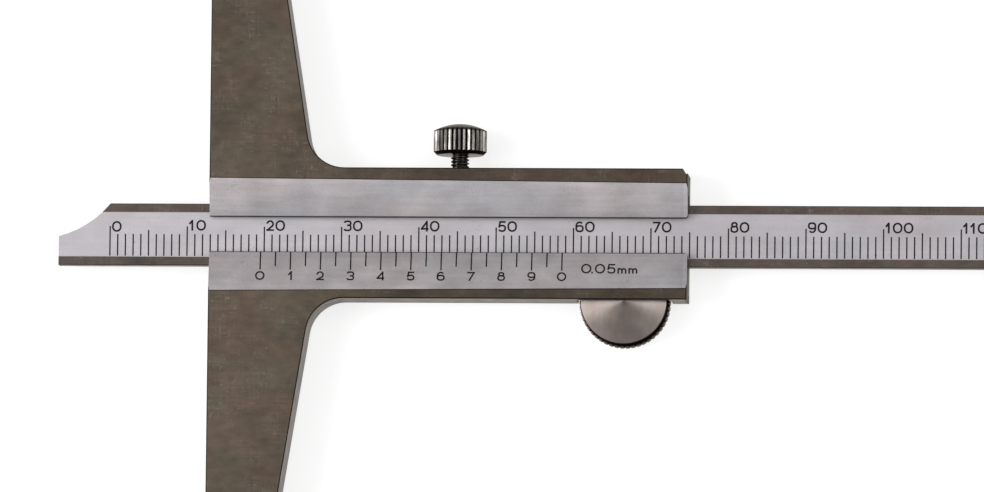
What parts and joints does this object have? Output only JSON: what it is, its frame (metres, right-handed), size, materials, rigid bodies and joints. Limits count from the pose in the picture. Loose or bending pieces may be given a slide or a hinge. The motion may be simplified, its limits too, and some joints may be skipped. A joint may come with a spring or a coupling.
{
  "type": "vernier depth gauge",
  "caption": "Vernier depth gauge: a T-shaped steel base with a window over a sliding graduated beam, moved by a thumb roller and held by a knurled lock screw.",
  "frame": {"origin": "where the beam's centre line crosses the measuring face of the base, in the middle of the body's thickness", "axes": "+X along the beam away from the measuring tip, +Y towards the lock screw, +Z towards the graduated front; the gauge lies on its back"},
  "size_m": [0.2167, 0.1, 0.007],
  "materials": {
    "lapped_steel": "ground and lapped",
    "satin_steel": "satin",
    "turned_steel": "turned and polished",
    "screw_steel": "hardened, dark",
    "spring_steel": "rolled",
    "brass": "milled",
    "ink": "matt ink"
  },
  "bodies": {
    "frame": {"base_frame": "lapped_steel", "back_plate": "lapped_steel", "back_plate_screws": "screw_steel", "gib_strip": "brass", "gib_set_screws": "screw_steel", "roller_axle": "screw_steel", "roller_arm": "spring_steel", "roller_arm_screws": "screw_steel", "vernier_graduations": "ink", "vernier_numbers": "ink", "resolution_mark": "ink"},
    "beam": {"depth_beam": "satin_steel", "beam_stop_screw": "screw_steel", "beam_graduations": "ink", "beam_numbers": "ink"},
    "roller": {"thumb_roller": "turned_steel"},
    "lock_pad": {"lock_pad": "brass"},
    "lock_screw": {"lock_screw": "turned_steel"}
  },
  "joints": [
    {"name": "depth_slide", "type": "slide", "parent": "frame", "child": "beam", "axis": [-1, 0, 0], "range_m": [-0.01965, 0.13035]},
    {"name": "roller_turn", "type": "hinge", "parent": "frame", "child": "roller", "pos_m": [0.0536, -0.00838, 0], "axis": [0, 0, 1], "range_deg": [-258, 1706]},
    {"name": "lock_press", "type": "slide", "parent": "frame", "child": "lock_pad", "axis": [0, -1, 0], "range_m": [0, 0.000225]},
    {"name": "lock_turn", "type": "hinge", "parent": "lock_pad", "child": "lock_screw", "pos_m": [0.0322, 0.006, 0.00025], "axis": [0, -1, 0], "range_deg": [0, 180.1]}
  ],
  "couplings": [
    {"joint": "roller_turn", "follows": "depth_slide", "rad_per_m": 228.31},
    {"joint": "lock_turn", "follows": "lock_press", "rad_per_m": 13963}
  ]
}
